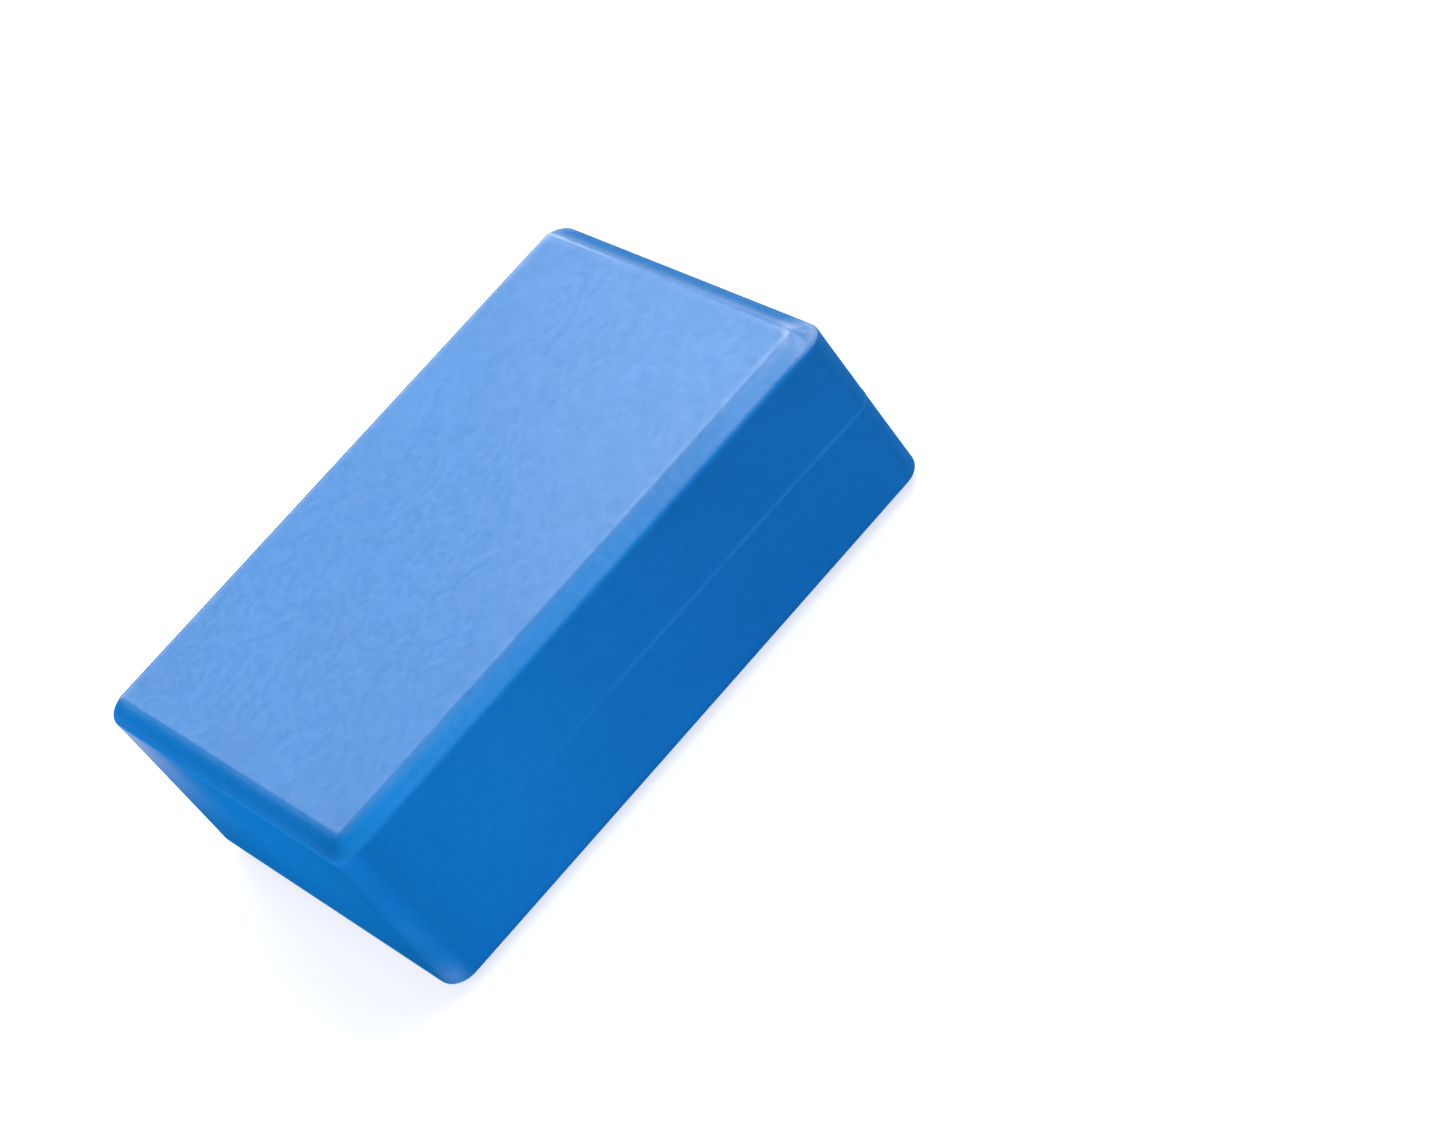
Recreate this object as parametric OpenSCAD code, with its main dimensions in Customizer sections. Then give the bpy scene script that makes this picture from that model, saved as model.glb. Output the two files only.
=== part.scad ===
// A closed-cell foam block for exercise, moulded as one piece.
// It lies flat as in use: length along X, width along Y, thickness up Z, and its rest face is at z = 0.

/* [Block] */
// Length between the two short ends, mm
block_l = 229; // [160:1:300]
// Width between the two long sides, mm
block_w = 154.5; // [100:0.5:200]
// Thickness between the two broad faces, mm
block_h = 75; // [40:0.5:110]

/* [Edges] */
// How far each bevel comes in over its broad face, mm
bevel_in = 7; // [3:0.5:12]
// How far each bevel comes down the sides, mm
bevel_down = 5; // [3:0.5:12]
// Radius of the four corners of each broad face, mm
face_corner_r = 1; // [1:0.5:15]
// Radius that softens both ridges of each bevel, mm
ridge_r = 1.5; // [0.5:0.25:2.5]

/* [Moulding line] */
// How far the raised line round the sides lies above the middle of the thickness, mm
line_up = 1.5; // [-6:0.5:6]
// Width of the line where it leaves the sides, mm
line_w = 1.6; // [0.6:0.1:3]
// How far the line stands out from the sides, mm
line_out = 0.3; // [0.1:0.05:0.8]

/* [Hidden] */
$fn = 96;

foam_blue = [0.07, 0.42, 0.76];

// The slope of a bevel, measured from its broad face
bevel_slope = atan(bevel_down / bevel_in);

// How far the softening of the inner and of the outer ridge reaches along the surfaces
inner_reach = ridge_r * tan(bevel_slope / 2);
outer_reach = ridge_r * tan((90 - bevel_slope) / 2);

// The upright edges turn about the same axes as the corners of the broad faces
corner_r = max(face_corner_r, inner_reach + 0.2);
upright_r = corner_r + bevel_in;

// The straight runs between the rounded corners
run_l = block_l - 2 * upright_r;
run_w = block_w - 2 * upright_r;

line_z = block_h / 2 + line_up;

// The sharp ridges of the upper bevel, as [distance from the corner's axis, height]
inner_ridge = [corner_r, block_h];
outer_ridge = [upright_r, block_h - bevel_down];
along_bevel = [cos(bevel_slope), -sin(bevel_slope)];

// The rim of the upper bevel with its ridges cut back to where their softening starts
upper_rim = [
    outer_ridge - [0, outer_reach],
    outer_ridge - outer_reach * along_bevel,
    inner_ridge + inner_reach * along_bevel,
    inner_ridge - [inner_reach, 0]
];

// The same rim for the bevel below, in the order in which a section goes round
lower_rim = [for (i = [3:-1:0]) [upper_rim[i][0], block_h - upper_rim[i][1]]];

// The raised line, from below to above
moulding_line = [
    [upright_r, line_z - line_w / 2],
    [upright_r + line_out, line_z - line_w / 6],
    [upright_r + line_out, line_z + line_w / 6],
    [upright_r, line_z + line_w / 2]
];

// The rounds that soften the two ridges of the upper bevel
module ridge_rounds() {
    translate([upright_r - ridge_r, block_h - bevel_down - outer_reach])
        circle(r = ridge_r);
    translate([corner_r - inner_reach, block_h - ridge_r])
        circle(r = ridge_r);
}

// The section of the rim, from a corner's axis outwards
module rim_section() {
    intersection() {
        union() {
            polygon(concat([[0, 0]], lower_rim, moulding_line, upper_rim, [[0, block_h]]));
            ridge_rounds();
            translate([0, block_h])
                mirror([0, 1])
                    ridge_rounds();
        }
        square([upright_r + 2 * line_out, block_h]);
    }
}

// One side of the block between its rounded corners, at this distance from the middle
module side(run, out) {
    translate([0, out, 0])
        rotate([90, 0, 90])
            linear_extrude(height = run, center = true)
                rim_section();
}

// One rounded corner, as a quarter turn that begins in this direction
module corner(axis, from) {
    translate([axis[0], axis[1], 0])
        rotate([0, 0, from])
            rotate_extrude(angle = 90)
                rim_section();
}

module foam_block() {
    color(foam_blue)
        union() {
            translate([-run_l / 2, -run_w / 2, 0])
                cube([run_l, run_w, block_h]);
            for (turn = [0, 180]) {
                rotate([0, 0, turn])
                    side(run_l, run_w / 2);
                rotate([0, 0, turn + 90])
                    side(run_w, run_l / 2);
            }
            corner([run_l / 2, run_w / 2], 0);
            corner([-run_l / 2, run_w / 2], 90);
            corner([-run_l / 2, -run_w / 2], 180);
            corner([run_l / 2, -run_w / 2], 270);
        }
}

foam_block();
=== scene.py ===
import math

import bpy
import numpy as np
from mathutils import Matrix, Vector


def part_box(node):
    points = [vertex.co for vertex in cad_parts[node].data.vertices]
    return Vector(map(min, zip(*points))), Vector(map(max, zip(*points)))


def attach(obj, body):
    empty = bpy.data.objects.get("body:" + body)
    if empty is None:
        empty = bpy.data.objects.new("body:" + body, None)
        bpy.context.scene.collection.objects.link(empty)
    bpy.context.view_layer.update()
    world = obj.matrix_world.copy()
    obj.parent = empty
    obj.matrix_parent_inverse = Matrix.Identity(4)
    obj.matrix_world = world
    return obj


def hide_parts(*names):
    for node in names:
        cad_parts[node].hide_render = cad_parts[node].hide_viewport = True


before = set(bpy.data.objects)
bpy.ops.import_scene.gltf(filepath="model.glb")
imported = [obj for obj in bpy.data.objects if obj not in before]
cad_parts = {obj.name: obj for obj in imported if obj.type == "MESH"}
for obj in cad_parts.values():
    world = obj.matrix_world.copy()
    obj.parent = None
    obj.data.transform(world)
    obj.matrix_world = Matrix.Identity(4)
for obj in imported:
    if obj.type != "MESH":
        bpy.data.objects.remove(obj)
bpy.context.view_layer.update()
scene = bpy.context.scene
scene.view_settings.view_transform = "Standard"


# The camera looks down on the block from in front, about 1.5 m away and through a long lens. It is rolled, so the
# block leans in the picture while it lies flat on the floor.
camera_place = Vector((-0.2743, -1.1585, 0.8809))
camera_azimuth = math.radians(-16.11)
camera_elevation = math.radians(36.72)
camera_roll = math.radians(-38.52)
lens_mm, sensor_mm, sight_m = 112.07, 36, 50

back = Vector((
    math.sin(camera_azimuth) * math.cos(camera_elevation),
    -math.cos(camera_azimuth) * math.cos(camera_elevation),
    math.sin(camera_elevation),
))
level_right = Vector((0, 0, 1)).cross(back).normalized()
level_up = back.cross(level_right)
camera_right = math.cos(camera_roll) * level_right + math.sin(camera_roll) * level_up
camera_up = back.cross(camera_right)

camera_data = bpy.data.cameras.new("camera")
camera_data.lens = lens_mm
camera_data.sensor_width = sensor_mm
camera_data.clip_end = sight_m
camera = bpy.data.objects.new("camera", camera_data)
camera.matrix_world = Matrix.Translation(camera_place) @ Matrix((camera_right, camera_up, back)).transposed().to_4x4()
scene.collection.objects.link(camera)
scene.camera = camera


# The foam block is one moulding of closed-cell EVA foam, dyed blue right through. The mould gives it a flat
# bevel round each broad face, rounded upright edges, and a fine raised line where the mould's halves met.
# Foam springs a little as it leaves the mould, so its ridges are soft and its sides fall in by a hair.
low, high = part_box("foam_block")
line_out = 0.0003
half_l = (high.x - low.x) / 2 - line_out
half_w = (high.y - low.y) / 2 - line_out
thick = high.z - low.z
bevel_in = 0.007
bevel_down = 0.005
bevel_fullness = math.radians(4)
face_corner_r = 0.0017
upright_r = face_corner_r + bevel_in
inner_ridge_r = 0.0045
outer_ridge_r = 0.0026
line_z = thick / 2 + 0.001
line_w = 0.0022
line_shows = 0.00012


def straight_points(start, end, steps):
    """Points along a straight stretch of the rim's section, without its ends."""
    shares = np.linspace(0, 1, steps + 1)[1:-1]
    return [(start[0] + (end[0] - start[0]) * s, start[1] + (end[1] - start[1]) * s) for s in shares]


# The section of the rim, from the top face over the bevel and down the side, built from its slope: the surface turns
# down quickly round the inner ridge, slowly over the full bevel, and quickly round the outer ridge
inner_steps, bevel_steps, outer_steps, side_steps = 8, 8, 10, 18
slope = math.atan2(bevel_down, bevel_in)
inner_reach = inner_ridge_r * math.tan(slope / 2)
outer_reach = outer_ridge_r * math.tan((math.pi / 2 - slope) / 2)
inner_tilt, outer_tilt = slope - bevel_fullness, slope + bevel_fullness
rim_turns = [
    (inner_ridge_r * inner_tilt, 0, inner_tilt, inner_steps),
    (math.hypot(bevel_in, bevel_down) - inner_reach - outer_reach, inner_tilt, outer_tilt, bevel_steps),
    (outer_ridge_r * (math.pi / 2 - outer_tilt), outer_tilt, math.pi / 2, outer_steps),
]
upper_rim = [(0.0, thick)]
for run, tilt, end_tilt, steps in rim_turns:
    for step in range(steps):
        along = tilt + (end_tilt - tilt) * (step + 0.5) / steps
        r, z = upper_rim[-1]
        upper_rim.append((r + run / steps * math.cos(along), z - run / steps * math.sin(along)))
shift = upright_r - upper_rim[-1][0]
upper_rim = [(r + shift, z) for r, z in upper_rim]
lower_rim = [(r, thick - z) for r, z in reversed(upper_rim)]
moulding_line = [
    (upright_r, line_z + line_w / 2),
    (upright_r + line_shows, line_z + line_w / 6),
    (upright_r + line_shows, line_z - line_w / 6),
    (upright_r, line_z - line_w / 2),
]
section = np.array(
    upper_rim
    + straight_points(upper_rim[-1], moulding_line[0], side_steps)
    + moulding_line
    + straight_points(moulding_line[-1], lower_rim[0], side_steps)
    + lower_rim
)

# The rim's path: the corners' axes and the straight runs between them, with the outward direction at each point
run_l = half_l - upright_r
run_w = half_w - upright_r
cells_l, cells_w, cells_corner = 124, 80, 12
corners = [(run_l, run_w), (-run_l, run_w), (-run_l, -run_w), (run_l, -run_w)]
path, outward = [], []
for i, (cx, cy) in enumerate(corners):
    for step in range(cells_corner):
        a = math.radians(90 * i + 90 * step / cells_corner)
        path.append((cx, cy))
        outward.append((math.cos(a), math.sin(a)))
    nx, ny = corners[(i + 1) % 4]
    cells = cells_l if i % 2 == 0 else cells_w
    a = math.radians(90 * (i + 1))
    for step in range(cells):
        path.append((cx + (nx - cx) * step / cells, cy + (ny - cy) * step / cells))
        outward.append((math.cos(a), math.sin(a)))
path, outward = np.array(path), np.array(outward)
around = len(path)

skin_points = [np.concatenate([np.column_stack([path + outward * r, np.full(around, z)]) for r, z in section])]
faces = []
for j in range(len(section) - 1):
    for i in range(around):
        k = (i + 1) % around
        faces.append((j * around + i, (j + 1) * around + i, (j + 1) * around + k, j * around + k))


def broad_face(z, rim_start, upside):
    """The flat part of a broad face, as a grid that meets the rim's first or last ring."""
    start = sum(len(points) for points in skin_points)
    gx, gy = np.meshgrid(np.linspace(-run_l, run_l, cells_l + 1), np.linspace(-run_w, run_w, cells_w + 1))
    skin_points.append(np.column_stack([gx.ravel(), gy.ravel(), np.full(gx.size, z)]))

    def at(ix, iy):
        return start + iy * (cells_l + 1) + ix

    new = []
    for iy in range(cells_w):
        for ix in range(cells_l):
            new.append((at(ix, iy), at(ix + 1, iy), at(ix + 1, iy + 1), at(ix, iy + 1)))
    grid_corner = [(cells_l, cells_w), (0, cells_w), (0, 0), (cells_l, 0)]
    i = 0
    for c in range(4):
        ix, iy = grid_corner[c]
        for step in range(cells_corner):
            new.append((at(ix, iy), rim_start + i, rim_start + (i + 1) % around))
            i += 1
        ex, ey = grid_corner[(c + 1) % 4]
        dx, dy = (ex > ix) - (ex < ix), (ey > iy) - (ey < iy)
        for step in range(cells_l if c % 2 == 0 else cells_w):
            a, b = at(ix + dx * step, iy + dy * step), at(ix + dx * (step + 1), iy + dy * (step + 1))
            new.append((a, rim_start + i, rim_start + (i + 1) % around, b))
            i += 1
    faces.extend(new if upside else [tuple(reversed(f)) for f in new])


def close_to(distance, reach):
    """1 at a place on the skin, and fading away over this reach."""
    return np.exp(-((distance / reach) ** 2))


def rising(distance, start, over):
    """0 up to the start, and 1 from this stretch after it."""
    return np.clip((distance - start) / over, 0, 1)


broad_face(thick, 0, True)
broad_face(0.0, (len(section) - 1) * around, False)
points = np.concatenate(skin_points)
x, y, z = points.T

# The raised line is worn down towards one upright edge and stands out more with the distance from it; so does its
# painted highlight
line_least, line_fades_over, line_highlight_pale = 0.05, 0.12, 0.75
from_worn_edge = np.hypot(x + half_l, y + half_w)
line_left = 1 - (1 - line_least) * close_to(from_worn_edge, line_fades_over)
on_line = (np.abs(z - line_z) < line_w / 4) * (np.maximum(np.abs(x) - half_l, np.abs(y) - half_w) > -upright_r)
worn_away = on_line * line_shows * (1 - line_left)
points[:, 0] -= worn_away * np.sign(x) * (half_l - np.abs(x) < half_w - np.abs(y))
points[:, 1] -= worn_away * np.sign(y) * (half_l - np.abs(x) >= half_w - np.abs(y))
line_highlight = on_line * line_left * line_highlight_pale

# The sides fall in by a little between the ridges, so that each ridge stands out as a fine lip. The upright edges
# are stiffer and stay full.
hollow_flat, hollow_arched, edge_stiff_for = 0.0006, 0.0003, 0.025
across = np.clip(np.abs(z - thick / 2) / (thick / 2 - bevel_down - outer_reach), 0, 1)
side_hollow = hollow_flat * (1 - across ** 10) + hollow_arched * (1 - across ** 2)
side_hollow *= 1 - close_to(np.hypot(half_l - np.abs(x), half_w - np.abs(y)), edge_stiff_for)
at_end = rising(np.abs(x), run_l, upright_r)
at_long_side = rising(np.abs(y), run_w, upright_r)
points[:, 0] -= np.sign(x) * at_end * side_hollow
points[:, 1] -= np.sign(y) * at_long_side * side_hollow

# The broad faces aren't quite flat either: they waver by a tenth of a millimetre, as foam does when it cools
face_sinks, face_wavers, face_border = 0.00008, 0.00006, 0.02
on_face = rising(run_l + face_corner_r - np.abs(x), 0, face_border)
on_face *= rising(run_w + face_corner_r - np.abs(y), 0, face_border)
on_face *= np.abs(z / thick * 2 - 1) > 0.999
waver = np.sin(x * 41 + y * 17 + 0.6) * np.sin(y * 37 - x * 12 + 1.9) + 0.5 * np.sin(x * 83 - y * 61 + 2.2)
points[:, 2] -= np.sign(z - thick / 2) * on_face * (face_sinks + face_wavers * waver)

# Where each point of the skin lies: its depth under the nearer broad face, the ridges, the bevels and the upright
# edges, and how far it has turned from a long side, at 0, to an end, at 1
depth = np.minimum(z, thick - z)
upper_half = z > thick / 2
beyond_x = np.maximum(np.abs(x) - run_l, 0)
beyond_y = np.maximum(np.abs(y) - run_w, 0)
from_axis = np.hypot(beyond_x, beyond_y)
towards_end = np.clip(beyond_x / np.maximum(from_axis, 1e-6), 0, 1) ** 2
wear_turn_r, inner_wear_at, inner_wear_reach, inner_wear_deep = 0.004, 0.0002, 0.0016, 0.003
outer_wear_at, outer_wear_reach, lip_at, lip_reach = 0.0038, 0.0010, 0.0055, 0.0013
slope_border, side_from, side_border = 0.001, 0.004, 0.003
ridge_x = np.maximum(np.abs(x) - run_l + wear_turn_r, 0)
ridge_y = np.maximum(np.abs(y) - run_w + wear_turn_r, 0)
past_inner_ridge = np.hypot(ridge_x, ridge_y) - wear_turn_r - face_corner_r
on_inner = close_to(past_inner_ridge - inner_wear_at, inner_wear_reach) * (depth < inner_wear_deep)
on_outer = close_to(depth - outer_wear_at, outer_wear_reach) * (from_axis > upright_r - 0.004)
on_bevel = (from_axis > face_corner_r) * (depth < bevel_down)
on_slope = rising(depth, 0, slope_border) * rising(bevel_down + slope_border / 2 - depth, 0, slope_border)
on_side = rising(depth, side_from, side_border)
on_upright = np.clip(2 * beyond_x * beyond_y / np.maximum(from_axis, 1e-6) ** 2, 0, 1) ** 2
on_upright *= from_axis > upright_r - 0.002
# The lip along the upper ridge of the near end, which gets a painted highlight
end_lip_highlight = close_to(depth - lip_at, lip_reach) * towards_end * (x < 0) * upper_half

# The skin is paled along the ridges, most at the corners, partly by the wear of hands and floors and partly as a
# painted highlight where the ridges and corners catch the light. Each corner has its own share, here by its side in
# x, y and z
corner_knocks_and_glints = {
    (1, -1, 1): 1.0, (1, 1, 1): 0.6, (-1, 1, 1): 0.2, (-1, -1, 1): 0.05,
    (1, -1, -1): 0.3, (1, 1, -1): 0.6, (-1, 1, -1): 0.4, (-1, -1, -1): 0.8,
}
knock_r, knock_spread = 0.012, 0.05
knocked_and_glinting, scuffed = np.zeros(len(points)), np.zeros(len(points))
for (sx, sy, sz), amount in corner_knocks_and_glints.items():
    away = np.sqrt((x - sx * half_l) ** 2 + (y - sy * half_w) ** 2 + (z - thick * (sz > 0)) ** 2)
    knocked_and_glinting += amount * close_to(away, knock_r)
    scuffed += amount * np.exp(-away / knock_spread)
ridge_rub, front_ridge_highlight_rub, scuffed_rub, knock_and_glint_rub = 0.03, 0.06, 0.3, 0.7
end_spared, outer_share, bevel_spared = 0.8, 0.3, 0.3
# A painted highlight along the inner ridge of the front long side, towards its right end
front_ridge_highlight = front_ridge_highlight_rub * rising(x, -0.03, 0.08) * (y < 0) * upper_half
along_ridges = ridge_rub + front_ridge_highlight + scuffed_rub * scuffed * (1 - end_spared * towards_end) + knock_and_glint_rub * knocked_and_glinting
wear_and_highlight = (on_inner + outer_share * on_outer) * along_ridges
over_bevel = np.maximum(knock_and_glint_rub * knocked_and_glinting + scuffed_rub * scuffed - bevel_spared, 0)
wear_and_highlight += on_bevel * over_bevel * (0.4 + 0.8 * towards_end)
wear_and_highlight += on_upright * (0.005 + 0.012 * scuffed + 0.07 * knocked_and_glinting)

# One upper corner has hardly been touched, and the foot of the upright edge below it and the lip of one end get a
# painted highlight
untouched, untouched_reach, lip_highlight_rub = 0.8, 0.02, 0.012
foot_highlight, foot_highlight_r, foot_highlight_z, foot_highlight_reach = 0.09, 0.03, 0.009, 0.006
wear_and_highlight *= 1 - untouched * close_to(from_worn_edge, untouched_reach) * upper_half
wear_and_highlight += foot_highlight * on_upright * (from_worn_edge < foot_highlight_r) * close_to(z - foot_highlight_z, foot_highlight_reach)
wear_and_highlight += lip_highlight_rub * end_lip_highlight
wear_and_highlight = np.clip(wear_and_highlight, 0, 1)

# The mould's plates press the broad faces smooth, the bevels less so, and the sides stay matt. This is the most
# gloss that each place can have. At one end the skin is smooth enough towards a corner to shine at a flat glance.
most_gloss = {
    0: 0.24, 0.0004: 0.16, 0.0012: 0.10, 0.0018: 0.06, 0.0026: 0.035, 0.0042: 0.033, 0.0050: 0.004, 1: 0.004,
}
dull_end, dull_end_reach, dull_ridge, shine_reach = 0.97, 0.05, 0.7, 0.028
smoothness = np.interp(depth, list(most_gloss), list(most_gloss.values()))
smoothness *= 1 - dull_end * close_to(x + half_l, dull_end_reach) * rising(depth, 0, 0.0007)
smoothness *= 1 - dull_ridge * on_inner * (1 - towards_end)
smooth_end = close_to(np.hypot(y - half_w, z - thick + 0.004), shine_reach)
smooth_end *= (x < 0) * towards_end * rising(depth, bevel_down, 0.002)

# Painted shade: the sides' blue is made a shade deeper and less green than on the lit broad faces, the ends less so,
# and the near end's bevel too
end_less_painted_shade, near_bevel_deeper_shade = 0.55, 0.8
deeper_painted_shade = rising(depth, 0.0035, 0.002) * (1 - end_less_painted_shade * towards_end)
deeper_painted_shade = np.maximum(deeper_painted_shade, near_bevel_deeper_shade * towards_end * (x < 0) * rising(depth, 0, 0.002) * (depth < 0.0045))

# Painted light and shade in the blue: the long bevels are painted lighter, the far end's bevel darker, the upright
# edge near the worn corner and the broad faces a little darker, one long side, the near end and its bevel with
# painted gradients of light and shade, and the near end's lip with a painted highlight.
long_bevel_painted_light, far_bevel_painted_shade, lip_painted_highlight = 0.18, 0.22, 0.22
worn_edge_painted_shade, worn_edge_reach, face_painted_shade, face_depth = 0.12, 0.016, 0.03, 0.0008
side_painted_light, side_painted_falloff, side_turn, side_foot_painted_light = 0.02, 0.09, 0.05, 0.08
near_bevel_painted_shade, near_bevel_painted_shade_tilt, near_bevel_painted_shade_y = 0.10, 0.07, 0.06
end_painted_light, end_painted_falloff, end_middle_y, end_reach, end_most_painted_falloff = 0.04, 0.06, 0.025, 0.05, 2.2
end_foot_painted_shade, end_foot_z, end_foot_border = 0.08, 0.035, 0.02
painted_shading = 1 + long_bevel_painted_light * on_slope * (1 - towards_end) - far_bevel_painted_shade * on_slope * towards_end * (x > 0)
painted_shading *= 1 - worn_edge_painted_shade * close_to(from_worn_edge, worn_edge_reach)
painted_shading *= 1 - face_painted_shade * (depth < face_depth)
side_painted_gradient = side_painted_light - side_painted_falloff * np.tanh(x / side_turn) - side_foot_painted_light * (z / thick - 0.5)
painted_shading *= 1 + on_side * (y < 0) * (1 - towards_end) * side_painted_gradient
painted_shading -= on_slope * towards_end * (x < 0) * (near_bevel_painted_shade - near_bevel_painted_shade_tilt * y / near_bevel_painted_shade_y)
off_middle = np.minimum(((y - end_middle_y) / end_reach) ** 2, end_most_painted_falloff)
end_painted_gradient = end_painted_light - end_painted_falloff * off_middle - end_foot_painted_shade * rising(end_foot_z - z, 0, end_foot_border)
painted_shading *= 1 + on_side * (x < 0) * towards_end * end_painted_gradient
painted_shading += lip_painted_highlight * end_lip_highlight

mesh = bpy.data.meshes.new("foam_block_moulding")
mesh.from_pydata(points.tolist(), [], faces)
mesh.validate()
mesh.update()
skin_values = {
    "wear_and_highlight": wear_and_highlight, "smoothness": smoothness, "smooth_end": smooth_end,
    "deeper_painted_shade": deeper_painted_shade, "painted_shading": painted_shading, "line_highlight": line_highlight,
}
for name, values in skin_values.items():
    mesh.attributes.new(name, "FLOAT", "POINT").data.foreach_set("value", values.astype(np.float32))
mesh.polygons.foreach_set("use_smooth", [True] * len(mesh.polygons))
block = bpy.data.objects.new("foam_block_moulding", mesh)
scene.collection.objects.link(block)


def noise(tree, scale, detail, roughness=0.5):
    """Cloudy noise over the piece, in its own metres."""
    place = tree.nodes.new("ShaderNodeTexCoord")
    cloud = tree.nodes.new("ShaderNodeTexNoise")
    cloud.inputs["Scale"].default_value = scale
    cloud.inputs["Detail"].default_value = detail
    cloud.inputs["Roughness"].default_value = roughness
    tree.links.new(place.outputs["Object"], cloud.inputs["Vector"])
    return cloud.outputs["Fac"]


def skin_value(tree, name):
    """One of the values that are kept at each point of the skin."""
    kept = tree.nodes.new("ShaderNodeAttribute")
    kept.attribute_name = name
    return kept.outputs["Fac"]


def spread(tree, source, found, wanted):
    """A value taken from the range in which it is found to the one that is wanted."""
    moved = tree.nodes.new("ShaderNodeMapRange")
    moved.inputs["From Min"].default_value, moved.inputs["From Max"].default_value = found
    moved.inputs["To Min"].default_value, moved.inputs["To Max"].default_value = wanted
    tree.links.new(source, moved.inputs["Value"])
    return moved.outputs["Result"]


def put_together(tree, operation, *sources):
    """Two or three values multiplied, compared or added."""
    result = tree.nodes.new("ShaderNodeMath")
    result.operation = operation
    for source, socket in zip(sources, result.inputs):
        tree.links.new(source, socket)
    return result.outputs["Value"]


def tinted(tree, colour, share, tint, blend="MIX"):
    """A colour with this share of a tint."""
    mixed = tree.nodes.new("ShaderNodeMix")
    mixed.data_type = "RGBA"
    mixed.blend_type = blend
    mixed.inputs["B"].default_value = tint
    tree.links.new(share, mixed.inputs["Factor"])
    tree.links.new(colour, mixed.inputs["A"])
    return mixed.outputs["Result"]


# The dyed foam: a cloudy blue with a fine speckle, painted a shade deeper on the sides, with painted light and shade
# over its faces, and paled along the ridges partly by wear and partly as painted highlight
foam = bpy.data.materials.new("blue_eva_foam")
foam.use_nodes = True
tree = foam.node_tree
skin = tree.nodes["Principled BSDF"]
skin.inputs["Roughness"].default_value = 0.55
skin.inputs["Specular IOR Level"].default_value = 0.0
deep_blue, light_blue = (0.0050, 0.198, 0.583, 1), (0.0061, 0.218, 0.637, 1)
painted_shade_tint = (1, 0.885, 1, 1)
pale_wear_and_highlight_blue = (0.45, 0.62, 1.0, 1)
line_highlight_blue = (0.03, 0.30, 0.82, 1)
noise_swing, scuff_swing = (0.3, 0.7), (0.35, 0.65)
speckle_swing, gloss_swing, rub_swing = (0.965, 1.035), (0.80, 1.20), (0.55, 1.15)

dye = tree.nodes.new("ShaderNodeValToRGB")
for stop, position, colour in zip(dye.color_ramp.elements, noise_swing, (deep_blue, light_blue)):
    stop.position, stop.color = position, colour
tree.links.new(noise(tree, scale=22, detail=8, roughness=0.72), dye.inputs["Fac"])
toned = tinted(tree, dye.outputs["Color"], skin_value(tree, "deeper_painted_shade"), painted_shade_tint, "MULTIPLY")
patches = noise(tree, scale=420, detail=2, roughness=0.6)
speckle = spread(tree, patches, noise_swing, speckle_swing)
shaded = tree.nodes.new("ShaderNodeHueSaturation")
tree.links.new(put_together(tree, "MULTIPLY", skin_value(tree, "painted_shading"), speckle), shaded.inputs["Value"])
tree.links.new(toned, shaded.inputs["Color"])
scuffs = spread(tree, noise(tree, scale=140, detail=5, roughness=0.7), scuff_swing, rub_swing)
paled = put_together(tree, "MULTIPLY", skin_value(tree, "wear_and_highlight"), scuffs)
with_wear_and_highlight = tinted(tree, shaded.outputs["Color"], paled, pale_wear_and_highlight_blue)

# The moulding line gets a painted highlight: its colour is made a shade lighter, as where a raised line catches the
# light
line_highlight_here = put_together(tree, "MULTIPLY", skin_value(tree, "line_highlight"), noise(tree, scale=30, detail=3))
tree.links.new(tinted(tree, with_wear_and_highlight, line_highlight_here, line_highlight_blue), skin.inputs["Base Color"])

grain = tree.nodes.new("ShaderNodeBump")
grain.inputs["Strength"].default_value = 0.25
grain.inputs["Distance"].default_value = 0.0002
tree.links.new(noise(tree, scale=900, detail=3), grain.inputs["Height"])
tree.links.new(grain.outputs["Normal"], skin.inputs["Normal"])

# The moulded skin has a soft, mottled gloss that grows towards a flat glance, as far as the skin is smooth
gloss = tree.nodes.new("ShaderNodeBsdfGlossy")
gloss.inputs["Roughness"].default_value = 0.25
tree.links.new(grain.outputs["Normal"], gloss.inputs["Normal"])
glance = tree.nodes.new("ShaderNodeLayerWeight")
glance.inputs["Blend"].default_value = 0.5
gloss_at_glance = [
    (0.0, 0.040), (0.16, 0.036), (0.30, 0.025), (0.42, 0.024), (0.465, 0.024), (0.50, 0.06),
    (0.54, 0.15), (0.58, 0.21), (0.64, 0.24), (0.80, 0.28), (1.0, 0.30),
]
share = tree.nodes.new("ShaderNodeFloatCurve")
bend = share.mapping.curves[0]
bend.points[0].location = gloss_at_glance[0]
bend.points[1].location = gloss_at_glance[-1]
for at_glance, amount in gloss_at_glance[1:-1]:
    bend.points.new(at_glance, amount)
for point in bend.points:
    point.handle_type = "AUTO_CLAMPED"
share.mapping.update()
tree.links.new(glance.outputs["Facing"], share.inputs["Value"])
glossiness = put_together(tree, "MINIMUM", share.outputs["Value"], skin_value(tree, "smoothness"))
mottled = put_together(tree, "MULTIPLY", glossiness, spread(tree, patches, noise_swing, gloss_swing))
flat_glance = spread(tree, glance.outputs["Facing"], (0.6, 0.9), (0, 0.34))
with_smooth_end = put_together(tree, "MULTIPLY_ADD", skin_value(tree, "smooth_end"), flat_glance, mottled)
layered = tree.nodes.new("ShaderNodeMixShader")
tree.links.new(with_smooth_end, layered.inputs["Fac"])
tree.links.new(skin.outputs["BSDF"], layered.inputs[1])
tree.links.new(gloss.outputs["BSDF"], layered.inputs[2])
tree.links.new(layered.outputs["Shader"], tree.nodes["Material Output"].inputs["Surface"])
mesh.materials.append(foam)

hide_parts("foam_block")
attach(block, "root")


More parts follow.
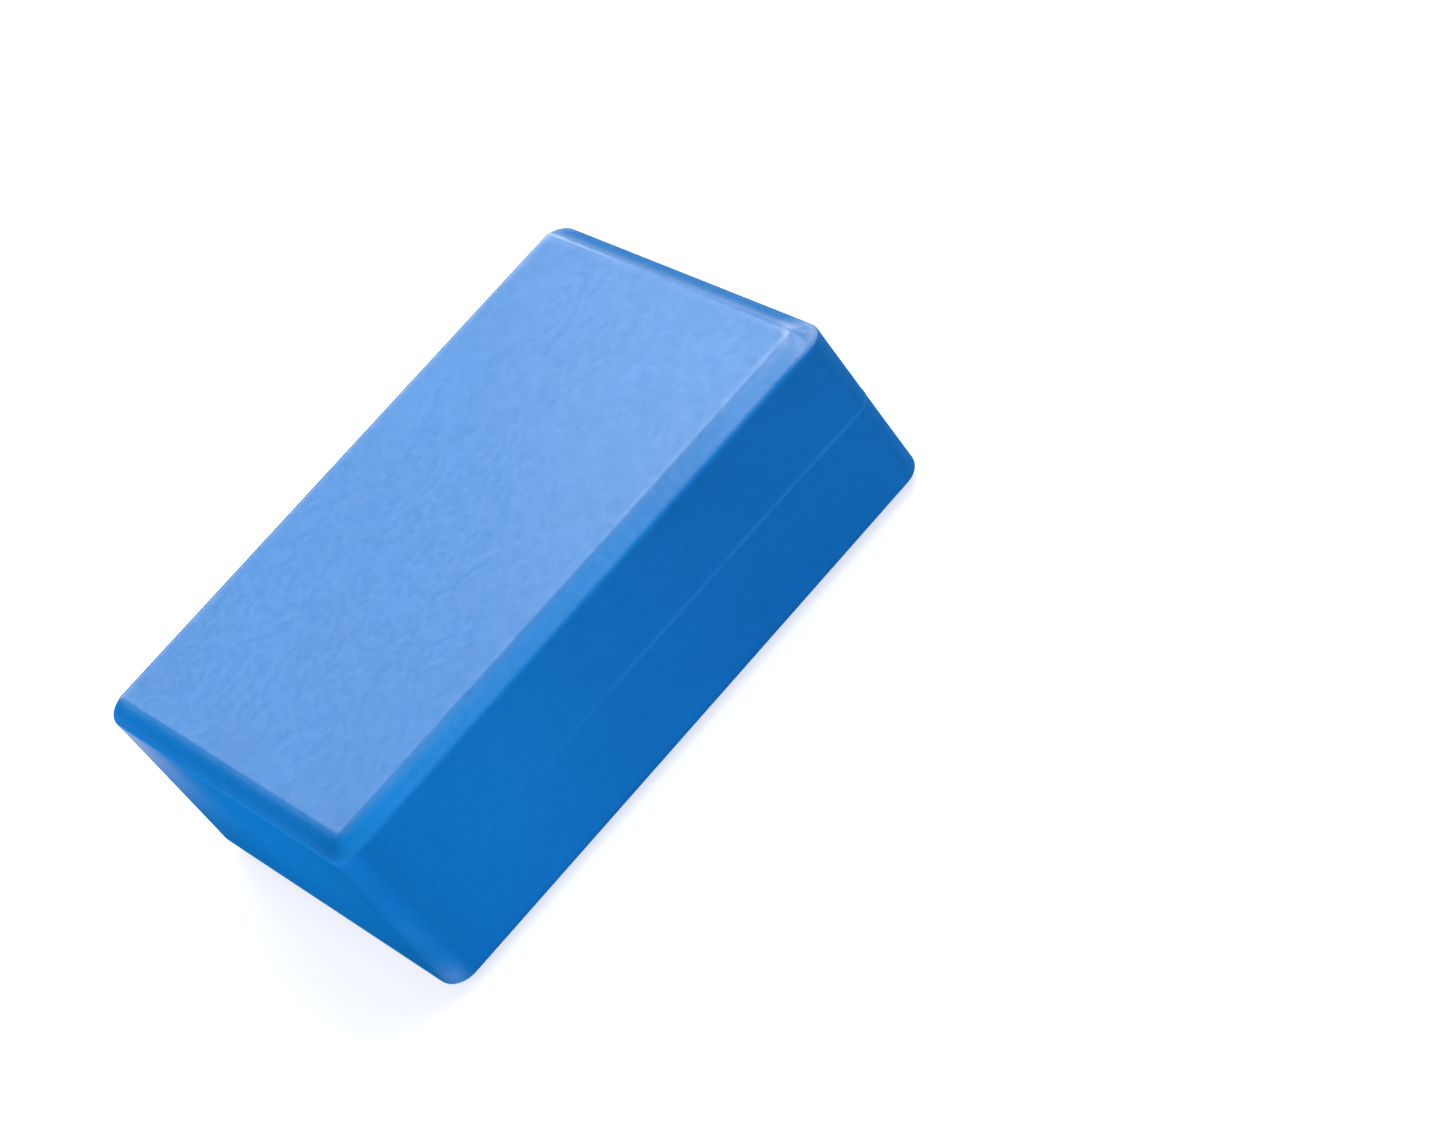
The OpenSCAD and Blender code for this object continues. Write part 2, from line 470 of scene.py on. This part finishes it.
# The floor is a plain white sheet that runs out to the horizon. It keeps the block's shadow near the block,
# and further off it shows as plain white.
floor_half, floor_drop, sheet_grey = 20, 0.0002, (0.7, 0.7, 0.7, 1)
shadow_zone, all_white_from, white_at_block = 0.15, 0.6, 0.62
floor_mesh = bpy.data.meshes.new("floor")
floor_corners = [(sx * floor_half, sy * floor_half, 0) for sx, sy in ((-1, -1), (1, -1), (1, 1), (-1, 1))]
floor_mesh.from_pydata(floor_corners, [], [(0, 1, 2, 3)])
floor = bpy.data.objects.new("floor", floor_mesh)
floor.location.z = -floor_drop
scene.collection.objects.link(floor)


def seen_in_picture(tree):
    """1 for what the camera sees, also in shiny or clear things, and 0 for the light on the block."""
    ray = tree.nodes.new("ShaderNodeLightPath")
    mirrored = put_together(tree, "MAXIMUM", ray.outputs["Is Glossy Ray"], ray.outputs["Is Transmission Ray"])
    return put_together(tree, "MAXIMUM", ray.outputs["Is Camera Ray"], mirrored)


paper = bpy.data.materials.new("white_sheet")
paper.use_nodes = True
tree = paper.node_tree
sheet = tree.nodes["Principled BSDF"]
sheet.inputs["Base Color"].default_value = sheet_grey
sheet.inputs["Roughness"].default_value = 1.0
sheet.inputs["Specular IOR Level"].default_value = 0.0
sheet.inputs["Emission Color"].default_value = (1, 1, 1, 1)
spot = tree.nodes.new("ShaderNodeTexCoord")
from_block = tree.nodes.new("ShaderNodeVectorMath")
from_block.operation = "LENGTH"
tree.links.new(spot.outputs["Object"], from_block.inputs[0])
fade = spread(tree, from_block.outputs["Value"], (shadow_zone, all_white_from), (white_at_block, 1.0))
fade.node.interpolation_type = "SMOOTHSTEP"
tree.links.new(put_together(tree, "MULTIPLY", fade, seen_in_picture(tree)), sheet.inputs["Emission Strength"])
floor_mesh.materials.append(paper)


# The light is a plain soft studio, an even white room with soft boxes on stands. Three stand behind the block, where
# its broad face mirrors them as a sheen, one hangs above its right end, and those in front and at both ends light
# its sides and bevels.
room_light = 0.17
room = bpy.data.worlds.new("room")
scene.world = room
room.use_nodes = True
tree = room.node_tree
sky = tree.nodes["Background"]
sky.inputs["Color"].default_value = (1, 1, 1, 1)
tree.links.new(spread(tree, seen_in_picture(tree), (0, 1), (room_light, 1.0)), sky.inputs["Strength"])


middle_of_block = Vector((0, 0, 0.05))


def soft_box(name, place, size, watts):
    """A soft oblong lamp that faces the middle of the block."""
    data = bpy.data.lights.new(name, "AREA")
    data.shape = "RECTANGLE"
    data.size, data.size_y = size
    data.energy = watts
    lamp = bpy.data.objects.new(name, data)
    lamp.location = place
    lamp.visible_camera = False
    lamp.rotation_euler = (Vector(place) - middle_of_block).to_track_quat("Z", "Y").to_euler()
    scene.collection.objects.link(lamp)


soft_box("soft_box_back", (0.14, 1.4, 1.02), (0.6, 0.6), 8.7)
soft_box("soft_box_back_right", (0.64, 1.4, 0.98), (0.35, 0.6), 7)
soft_box("soft_box_back_high", (0.50, 1.1, 1.27), (0.35, 0.4), 4.5)
soft_box("soft_box_above", (0.56, -0.16, 1.10), (0.9, 0.26), 5.4)
soft_box("soft_box_front", (-0.5, -0.7, 0.72), (0.6, 0.6), 2.5)
soft_box("soft_box_right", (1.31, 0.32, 0.98), (0.22, 0.22), 3)
soft_box("soft_box_right_low", (1.4, -0.25, 0.2), (0.5, 0.5), 3)
soft_box("soft_box_left", (-1.2, -0.58, 0.22), (0.6, 0.4), 8)
